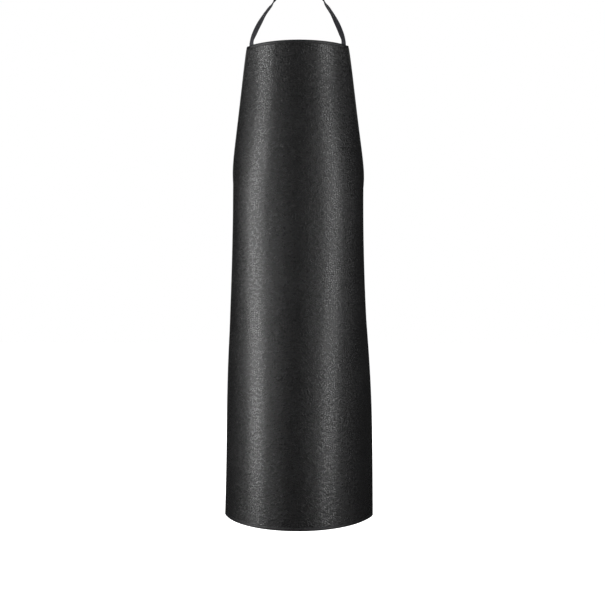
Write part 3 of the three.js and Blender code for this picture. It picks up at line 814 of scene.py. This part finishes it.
def seam(name, paths, lifts, on=on_cloth):
    """Rows of stitches along flat paths, at each lift from the surface of on(). A lift's sign is its side."""
    chance = random.Random(name)
    vertices, faces = [], []
    for path in paths:
        points = resample(path, STITCH)
        for a, b in zip(points, points[1:]):
            for lift in lifts:
                low = mix(0.10, 0.16, chance.random())
                start = [mix(p, q, low) for p, q in zip(a, b)]
                end = [mix(q, p, low) for p, q in zip(a, b)]
                p, q = on(*start, lift), on(*end, lift)
                up = (on(*start, lift + math.copysign(0.001, lift)) - p).normalized()
                add_stitch(vertices, faces, p, q, up)
    return new_object(name, vertices, faces, "apron", [THREAD])


def edge_seams():
    """The seam along every bound edge, seen on the front and on the back."""
    out = TAPE_LOW + TAPE - SEAM_DIP
    seams = []
    for name, side in (("left", -1), ("right", 1)):
        arm = [(run + in_run * STITCH_INSET, z + in_z * STITCH_INSET)
               for run, z, in_run, in_z in edge_places(side, arm_heights(), SIDEWAYS, waist_mitre())]
        long = [(side * (SKIRT_HALF - STITCH_INSET), z) for z in evenly(WAIST_Z, HEM_Z + SEAM_END, ROW)]
        seams.append(seam(f"arm_seam_{name}", [arm], (out, -out)))
        seams.append(seam(f"side_seam_{name}", [long], (out, -out)))
    for name, z in (("top_seam", TOP_Z - STITCH_INSET), ("hem_seam", HEM_Z + STITCH_INSET)):
        end = cloth_half(z) - BINDING - CORNER_GAP
        seams.append(seam(name, [[(run, z) for run in evenly(-end, end, ROW)]], (out, -out)))
    return seams


# ---- Reinforcing patches ----
STRAP_LIFT = -(TAPE_LOW + TAPE + SEWN_GAP + WEBBING_T / 2)
PATCH_LIFT = STRAP_LIFT - WEBBING_T / 2 - SEWN_GAP / 2
NECK_RUN = BIB_TOP_HALF - STRAP_INSET - WEBBING / 2  # front middle to the neck strap's centre line
PATCH_CORNER = 0.006
PATCH_STEP = 0.002


def patch(name, node, middle, low_z, high_z, half_width):
    """A piece of the same cloth behind a strap's sewn end, its corners rounded."""
    sections = []
    for z in evenly(low_z, high_z, PATCH_STEP):
        inset = max(low_z + PATCH_CORNER - z, z - high_z + PATCH_CORNER, 0)
        half = half_width - PATCH_CORNER + math.sqrt(max(PATCH_CORNER**2 - inset**2, 0))
        runs = [middle + half * share for share in evenly(-1, 1, 0.125)]
        outer = [on_cloth(run, z, PATCH_LIFT) for run in runs]
        inner = [on_cloth(run, z, PATCH_LIFT - PATCH) for run in reversed(runs)]
        sections.append(outer + inner)
    piece = loft(name, sections, "apron", [LEATHER])
    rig.replaces(piece, node)
    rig.slot(piece, "leathercloth")
    return piece


def rectangle(middle, low_z, high_z, half_width):
    """A stitched box and its diagonals."""
    left, right = middle - half_width, middle + half_width
    loop = [(left, low_z), (right, low_z), (right, high_z), (left, high_z), (left, low_z)]
    return [loop, [(left, low_z), (right, high_z)], [(right, low_z), (left, high_z)]]


def make_patches():
    front = CLOTH / 2
    back = PATCH_LIFT - PATCH
    pieces = []
    for name, side in (("left", -1), ("right", 1)):
        run = side * NECK_RUN
        low, high = TOP_Z - SEWN - PATCH_MARGIN, TOP_Z - PATCH_TOP
        half = WEBBING / 2 + PATCH_MARGIN
        pieces.append(patch(f"neck_reinforcement_{name}", f"neck_patch_{name}", run, low, high, half))
        box = rectangle(run, TOP_Z - SEWN + BOX_END, TOP_Z - BINDING - BOX_END, WEBBING / 2 - BOX_INSET)
        pieces.append(seam(f"neck_box_stitch_{name}", box, (front, back)))
        past = PATCH_MARGIN - STRAP_INSET
        run = side * (SKIRT_HALF - STRAP_INSET - SEWN / 2)
        half, tall = SEWN / 2 + past, WEBBING / 2 + past
        low, high = BELT_Z - tall, BELT_Z + tall
        pieces.append(patch(f"waist_reinforcement_{name}", f"waist_patch_{name}", run, low, high, half))
        outer = SKIRT_HALF - BINDING - BOX_END
        inner = SKIRT_HALF - STRAP_INSET - SEWN + BOX_END
        tall = WEBBING / 2 - BOX_INSET
        box = rectangle(side * (outer + inner) / 2, BELT_Z - tall, BELT_Z + tall, (outer - inner) / 2)
        pieces.append(seam(f"waist_box_stitch_{name}", box, (front, back)))
    return pieces


# ---- Webbing ----
RIBS = 7
RIB_POINTS = 5
RIB_RISE = 0.00016
EDGE_ROUNDING = 0.0009


def webbing_section():
    """The webbing's section as (across, height) pairs: ribs on both faces, and rounded edges."""
    count = RIBS * RIB_POINTS
    face = []
    for i in range(count + 1):
        share = i / count
        across = (share - 0.5) * WEBBING
        rib = abs(math.sin(math.pi * RIBS * share)) ** 0.6
        border = min(share, 1 - share) * WEBBING / EDGE_ROUNDING
        rounding = math.sqrt(1 - (1 - min(border, 1)) ** 2)
        height = (WEBBING_T / 2 - RIB_RISE + RIB_RISE * rib) * max(rounding, 0.25)
        face.append((across, height))
    return face + [(across, -height) for across, height in reversed(face)]


WEBBING_SECTION = webbing_section()
STRAP_STEP = 0.004  # longest piece of a strap's straight stretch
BEND_STEPS = 6


def ribbon(name, node, points, across, body):
    """Webbing along a row of points. across gives the direction of its width at each point."""
    sections = []
    for i, point in enumerate(points):
        along = (points[min(i + 1, len(points) - 1)] - points[max(i - 1, 0)]).normalized()
        side = (across[i] - along * across[i].dot(along)).normalized()
        up = along.cross(side)
        sections.append([point + side * x + up * z for x, z in WEBBING_SECTION])
    lengths = running(points)
    count = len(WEBBING_SECTION)

    def uv(k, i):
        return WEBBING_SECTION[i % count][0], lengths[k]

    piece = loft(name, sections, body, [STRAP], None, uv)
    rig.replaces(piece, node)
    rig.slot(piece, "webbing")
    return piece


def spline(points, steps):
    """Points of a centripetal Catmull-Rom curve, steps to each span, without its last point."""
    ends = [points[0] * 2 - points[1], *points, points[-1] * 2 - points[-2]]
    made = []
    for k in range(1, len(ends) - 2):
        p0, p1, p2, p3 = ends[k - 1:k + 3]
        d0, d1, d2 = (max((b - a).length ** 0.5, 1e-4) for a, b in ((p0, p1), (p1, p2), (p2, p3)))
        m1 = ((p1 - p0) / d0 - (p2 - p0) / (d0 + d1) + (p2 - p1) / d1) * d1
        m2 = ((p2 - p1) / d1 - (p3 - p1) / (d1 + d2) + (p3 - p2) / d2) * d1
        for n in range(steps):
            t = n / steps
            made.append(p1 * (2 * t**3 - 3 * t**2 + 1) + m1 * (t**3 - 2 * t**2 + t)
                        + p2 * (3 * t**2 - 2 * t**3) + m2 * (t**3 - t**2))
    return made


def rounded(corners, radius):
    """A polyline with its inner corners rounded and its long stretches divided."""
    points = [corners[0]]
    for before, corner, after in zip(corners, corners[1:], corners[2:]):
        back, on = before - corner, after - corner
        cut = min(radius, back.length / 2, on.length / 2)
        a, b = corner + back.normalized() * cut, corner + on.normalized() * cut
        for i in range(BEND_STEPS + 1):
            t = i / BEND_STEPS
            points.append(a.lerp(corner, t).lerp(corner.lerp(b, t), t))
    points.append(corners[-1])
    divided = []
    for a, b in zip(points, points[1:]):
        parts = max(1, math.ceil((b - a).length / STRAP_STEP))
        divided += [a.lerp(b, i / parts) for i in range(parts)]
    return [*divided, points[-1]]


# ---- The buckles' planes: x along the strap from socket to plug, y across it, z away from the wearer ----
NAPE_Y = 0.062
FOLD_SEAM_NEAR = 0.0075  # past the socket's end
FOLD_SEAM_FAR = 0.002  # in from the fold
THREAD_SINK = 0.0001  # how far a stitch's line lies under the webbing's face
NAPE_TILT = math.radians(20)
NAPE_STRAIGHT = 0.044
BELT_STRAIGHT = 0.062
LEAD_IN = 0.002
WAIST_BACK_Y = WAIST_SECTION[2] + 2 * WAIST_SECTION[1] - 0.0073
NECK_PLANE = Matrix.Translation((0, NAPE_Y, 0)) @ Matrix.Rotation(-math.pi / 2 + NAPE_TILT, 4, "X")
WAIST_PLANE = Matrix.Translation((0, WAIST_BACK_Y, BELT_Z)) @ Matrix.Rotation(-math.pi / 2, 4, "X")

SOCKET_L = 0.024
SLOT = 0.0042
BAR = 0.0034
BAR_T = 0.0028
SOCKET_END = SOCKET_L + SLOT + BAR
PLUG_START = 0.0006
SHOULDER = 0.0054
INNER_BAR = PLUG_START + SHOULDER + SLOT
THREAD_CLEAR = 0.0005
OVER_BAR = BAR_T / 2 + THREAD_CLEAR + WEBBING_T / 2
LAYER = WEBBING_T + THREAD_CLEAR
PLUG_LOAD = -(OVER_BAR + LAYER)
SOCKET_LOAD = -OVER_BAR
BEND = 0.0015
BAR_CLEAR = 0.0004  # webbing's bend to the inner bar
OVER_END = 0.001  # the fold leaves the socket's bar this far past its end
FOLD_DOWN = 0.006  # and lies on the strap again from here
NECK_TAIL = 0.044
WAIST_TAIL = 0.054
NECK_FOLD = -(SOCKET_END + 0.012)
WAIST_FOLD = -(SOCKET_END + 0.026)


def plug_thread(start, tail):
    rise = PLUG_START + SHOULDER + SLOT / 2
    fall = INNER_BAR + BAR + BEND + BAR_CLEAR
    places = ((start, PLUG_LOAD), (rise, PLUG_LOAD), (rise, OVER_BAR), (fall, OVER_BAR),
              (fall, -OVER_BAR), (tail, -OVER_BAR))
    return rounded([Vector((x, 0, z)) for x, z in places], BEND)


def socket_thread(start, fold):
    rise = -(SOCKET_L + SLOT / 2)
    over, down = -(SOCKET_END + OVER_END), -(SOCKET_END + FOLD_DOWN)
    places = ((start, SOCKET_LOAD), (rise, SOCKET_LOAD), (rise, OVER_BAR), (over, OVER_BAR),
              (down, SOCKET_LOAD + LAYER), (fold, SOCKET_LOAD + LAYER))
    return rounded([Vector((x, 0, z)) for x, z in places], BEND)


# The neck strap's free stops, on the right side: the share of the way from the cloth to the nape in X, Y
# and Z, and the direction that the webbing faces.
NECK_STOPS = (
    ((0.09, 0.10, 0.145), (0.40, -0.85, 0.30)),
    ((0.24, 0.28, 0.33), (0.30, -0.80, 0.50)),
    ((0.40, 0.47, 0.50), (0.45, -0.60, 0.65)),
    ((0.61, 0.69, 0.68), (0.35, -0.30, 0.85)),
    ((0.73, 0.83, 0.80), (0.50, 0.30, 0.75)),
    ((0.86, 0.94, 0.92), (0.40, 0.75, 0.50)),
)
NECK_RISE = 0.009
WAIST_STOPS = (0.2, 0.42)  # the waist strap's free stops, as shares of the way round to the back
SPAN_STEPS = 10
CHEST_END = (0.100, -0.034, TOP_Z + 0.035)  # where the right neck strap begins to follow its plug


def neck_route(load):
    """The right neck strap from its sewn end to the nape: its points, and the directions of its width."""
    stops, facing = [], []
    for below in (SEWN, SEWN / 2, 0, -NECK_RISE):
        z = TOP_Z - max(below, 0)
        point = on_cloth(NECK_RUN, z, STRAP_LIFT)
        point.z = TOP_Z - below
        stops.append(point)
        facing.append(normal_at(angle_at(z, NECK_RUN), z))
    leave = stops[-1]
    nape = NECK_PLANE @ Vector((NAPE_STRAIGHT + LEAD_IN, 0, load))
    for way, face in NECK_STOPS:
        stops.append(Vector([mix(a, b, share) for a, b, share in zip(leave, nape, way)]))
        facing.append(Vector(face))
    stops.append(nape)
    facing.append(NECK_PLANE.to_3x3() @ Vector((0, 0, 1)))
    points, faces = spline(stops, SPAN_STEPS), spline(facing, SPAN_STEPS)
    across = []
    for i, point in enumerate(points):
        along = points[min(i + 1, len(points) - 1)] - points[max(i - 1, 0)]
        across.append(faces[i].cross(along).normalized())
    return points, across


def neck_strap(name, side):
    on_plug = side > 0
    points, across = neck_route(PLUG_LOAD if on_plug else SOCKET_LOAD)
    if not on_plug:
        points = [Vector((-p.x, p.y, p.z)) for p in points]
        across = [Vector((-a.x, a.y, a.z)) for a in across]
    start = NAPE_STRAIGHT
    path = plug_thread(start, NECK_TAIL) if on_plug else socket_thread(-start, NECK_FOLD)
    width = NECK_PLANE.to_3x3() @ Vector((0, 1, 0))
    if across[-1].dot(width) < 0:
        width.negate()
    points += [NECK_PLANE @ p for p in path]
    across += [width] * len(path)
    body = None if on_plug else "apron"
    return ribbon(f"neck_webbing_{name}", f"neck_strap_{name}", points, across, body)


def waist_strap(name, side):
    on_plug = side > 0
    load = PLUG_LOAD if on_plug else SOCKET_LOAD
    start = BELT_STRAIGHT - LEAD_IN
    path = plug_thread(start, WAIST_TAIL) if on_plug else socket_thread(-start, WAIST_FOLD)
    sewn_from = SKIRT_HALF - SEWN - STRAP_INSET
    stops = [on_cloth(side * mix(sewn_from, SKIRT_HALF, i / 4), BELT_Z, STRAP_LIFT) for i in range(5)]
    half, depth, front = section_at(BELT_Z)
    leaves = angle_at(BELT_Z, SKIRT_HALF)
    for share in WAIST_STOPS:
        angle = side * mix(leaves, math.pi, share)
        point = Vector((half * math.sin(angle), front + depth * (1 - math.cos(angle)), BELT_Z))
        stops.append(point + normal_at(angle, BELT_Z) * STRAP_LIFT)
    path = [WAIST_PLANE @ p for p in path]
    stops.append(WAIST_PLANE @ Vector((side * BELT_STRAIGHT, 0, load)))
    stops.append(path[0])
    points = spline(stops, SPAN_STEPS - 2) + path
    across = [Vector((0, 0, 1))] * len(points)
    body = None if on_plug else "apron"
    return ribbon(f"waist_webbing_{name}", f"waist_strap_{name}", points, across, body)


def fold_seam(name, plane, fold):
    """The stitched box that closes a strap's fold behind the socket."""
    near, far = -(SOCKET_END + FOLD_SEAM_NEAR), fold + FOLD_SEAM_FAR
    low, high = min(near, far), max(near, far)
    side = WEBBING / 2 - BOX_INSET
    box = [(low, -side), (high, -side), (high, side), (low, side), (low, -side)]
    top = SOCKET_LOAD + LAYER + WEBBING_T / 2
    bottom = SOCKET_LOAD - WEBBING_T / 2

    def on_fold(x, y, lift):
        face = top - THREAD_SINK if lift > 0 else bottom + THREAD_SINK
        return plane @ Vector((x, y, face + lift))

    seam(name, [box], (THREAD_SINK, -THREAD_SINK), on_fold)


def make_straps():
    """The four straps. The two on the plugs' side follow the plugs from the wearer's shoulder and hip on."""
    neck_strap("left", -1)
    waist_strap("left", -1)
    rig.blend(neck_strap("right", 1), "apron", "neck_plug", start=CHEST_END, end=(NAPE_STRAIGHT, NAPE_Y, 0))
    hip, back = on_cloth(SKIRT_HALF, BELT_Z), (BELT_STRAIGHT, WAIST_BACK_Y, BELT_Z)
    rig.blend(waist_strap("right", 1), "apron", "waist_plug", start=hip, end=back)
    fold_seam("neck_fold_stitch", NECK_PLANE, NECK_FOLD)
    fold_seam("waist_fold_stitch", WAIST_PLANE, WAIST_FOLD)


# ---- Buckle mouldings ----
WELD = 0.00002  # vertices nearer than this are one
MOULD_ROUND = 0.0005
CATCH_ROUND = 0.0004


def moulding(name, node, body, edge):
    """The CAD moulding with its flat faces whole again and its edges rounded."""
    mesh = bmesh.new()
    mesh.from_mesh(frame["nodes"][node].data)
    bmesh.ops.remove_doubles(mesh, verts=mesh.verts, dist=WELD)
    bmesh.ops.dissolve_limit(mesh, angle_limit=math.radians(2), verts=mesh.verts, edges=mesh.edges)
    data = bpy.data.meshes.new(name)
    mesh.to_mesh(data)
    mesh.free()
    data.materials.append(PLASTIC)
    piece = bpy.data.objects.new(name, data)
    bpy.context.scene.collection.objects.link(piece)
    bevel = piece.modifiers.new("rounded edges", "BEVEL")
    bevel.width = edge
    bevel.segments = 3
    bevel.limit_method = "ANGLE"
    bevel.angle_limit = math.radians(35)
    bevel.harden_normals = False
    data.polygons.foreach_set("use_smooth", [True] * len(data.polygons))
    weighted = piece.modifiers.new("flat faces", "WEIGHTED_NORMAL")
    weighted.keep_sharp = False
    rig.ride(piece, body)
    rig.replaces(piece, node)
    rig.slot(piece, "buckle_plastic")
    return piece


def make_buckles():
    for place in ("neck", "waist"):
        moulding(f"{place}_socket_moulding", f"{place}_buckle_socket", "apron", MOULD_ROUND)
        moulding(f"{place}_plug_moulding", f"{place}_buckle_plug", f"{place}_plug", MOULD_ROUND)
        for level in ("upper", "lower"):
            moulding(f"{place}_catch_{level}", f"{place}_prong_{level}", f"{place}_plug", CATCH_ROUND)


# ---- Stage ----
FLOOR_DROP = 0.19  # hem to the floor
FLOOR_SIDE = 14  # the floor's reach to the sides and behind
FLOOR_NEAR = 4  # and towards the camera
SURROUND = 0.012  # light of the surround that the apron catches


def make_stage():
    """A pale floor under the apron, glowing white with a painted soft shadow in its middle, and a white surround."""
    z = HEM_Z - FLOOR_DROP
    side = FLOOR_SIDE
    corners = [(-side, -FLOOR_NEAR, z), (side, -FLOOR_NEAR, z), (side, side, z), (-side, side, z)]
    nodes = Nodes("floor")
    place = nodes.add("TexCoord").outputs["Object"]
    # painted shadow: the floor glows so that it looks white, and the glow weakens towards its middle under the apron,
    # from 1.0 far out to 0.72
    away = nodes.add("VectorMath", {0: place, 1: (0, 0, z)}, operation="DISTANCE").outputs["Value"]
    nodes.finish(
        Base_Color=nodes.blend(nodes.noise(place, 3), (0.90, 0.90, 0.90), (0.93, 0.93, 0.93)),
        Roughness=0.9,
        Emission_Color=(1, 1, 1),
        Emission_Strength=nodes.spread(away, 0.4, 2.5, 0.72, 1.0),
    )
    floor = new_object("floor", corners, [(0, 1, 2, 3)], None, [nodes.material])
    floor.visible_diffuse = False
    floor.visible_glossy = False
    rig.stage(floor)
    world = bpy.data.worlds.new("white surround")
    bpy.context.scene.world = world
    world.use_nodes = True
    tree = world.node_tree
    background = tree.nodes["Background"]
    path = tree.nodes.new("ShaderNodeLightPath")
    level = tree.nodes.new("ShaderNodeMapRange")
    level.inputs["To Min"].default_value = SURROUND
    level.inputs["To Max"].default_value = 1.0
    tree.links.new(path.outputs["Is Camera Ray"], level.inputs["Value"])
    tree.links.new(level.outputs["Result"], background.inputs["Strength"])
    background.inputs["Color"].default_value = (1, 1, 1, 1)


STRIP_DISTANCE = 1.7
STRIP_RISE = 0.27  # the strips' middles above the apron's
STRIP_HEIGHT = 2.15
STRIPS = (  # name, bearing, width, power and lean
    ("left strip", -67, 0.75, 40, -13),
    ("right strip", 54, 0.75, 26, 2),
)
FILLS = (  # name, place, size, power, and whether it shows in reflections
    ("overhead", (0, -0.6, 2.2), 2.5, 3, True),
    ("back fill", (0.5, 2.3, 1.1), 2.0, 110, False),
)


def area_light(name, place, target, size, power, lean=0):
    data = bpy.data.lights.new(name, "AREA")
    data.shape = "RECTANGLE"
    data.size, data.size_y = size
    data.energy = power
    light = bpy.data.objects.new(name, data)
    light.location = place
    aimed = (target - light.location).to_track_quat("-Z", "Y")
    light.rotation_euler = (aimed @ Quaternion((0, 0, 1), math.radians(lean))).to_euler()
    bpy.context.scene.collection.objects.link(light)
    return light


def make_lights():
    """Two upright soft strips in front of the apron, and a weak fill from above and from behind."""
    middle = Vector((0, -0.06, (TOP_Z + HEM_Z) / 2))
    for name, bearing, width, power, lean in STRIPS:
        turn = math.radians(bearing)
        aim = middle + Vector((0, 0, STRIP_RISE))
        place = aim + Vector((math.sin(turn), -math.cos(turn), 0)) * STRIP_DISTANCE
        area_light(name, place, aim, (width, STRIP_HEIGHT), power, lean)
    for name, place, size, power, reflected in FILLS:
        light = area_light(name, Vector(place), middle, (size, size), power)
        light.visible_glossy = reflected


cloth = panel()
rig.replaces(cloth, "apron_panel")
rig.slot(cloth, "leathercloth")
on_the_cloth = [*make_tapes(), *edge_seams(), *make_patches()]
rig.sheet(
    cloth,
    flat=(2 * SKIRT_HALF, TOP_Z - HEM_Z),
    held="hung",
    rests_on=["neck_webbing_left", "neck_webbing_right"],
    area=flat_area(),
    with_pieces=on_the_cloth,
)
make_straps()
make_buckles()
make_stage()
make_lights()
bpy.context.scene.view_settings.view_transform = "Standard"

with open("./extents.json", "w") as file:
    boxes = {"cad": [list(corner) for corner in cad_box], "visual": [list(corner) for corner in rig.bounds()]}
    json.dump(boxes, file)
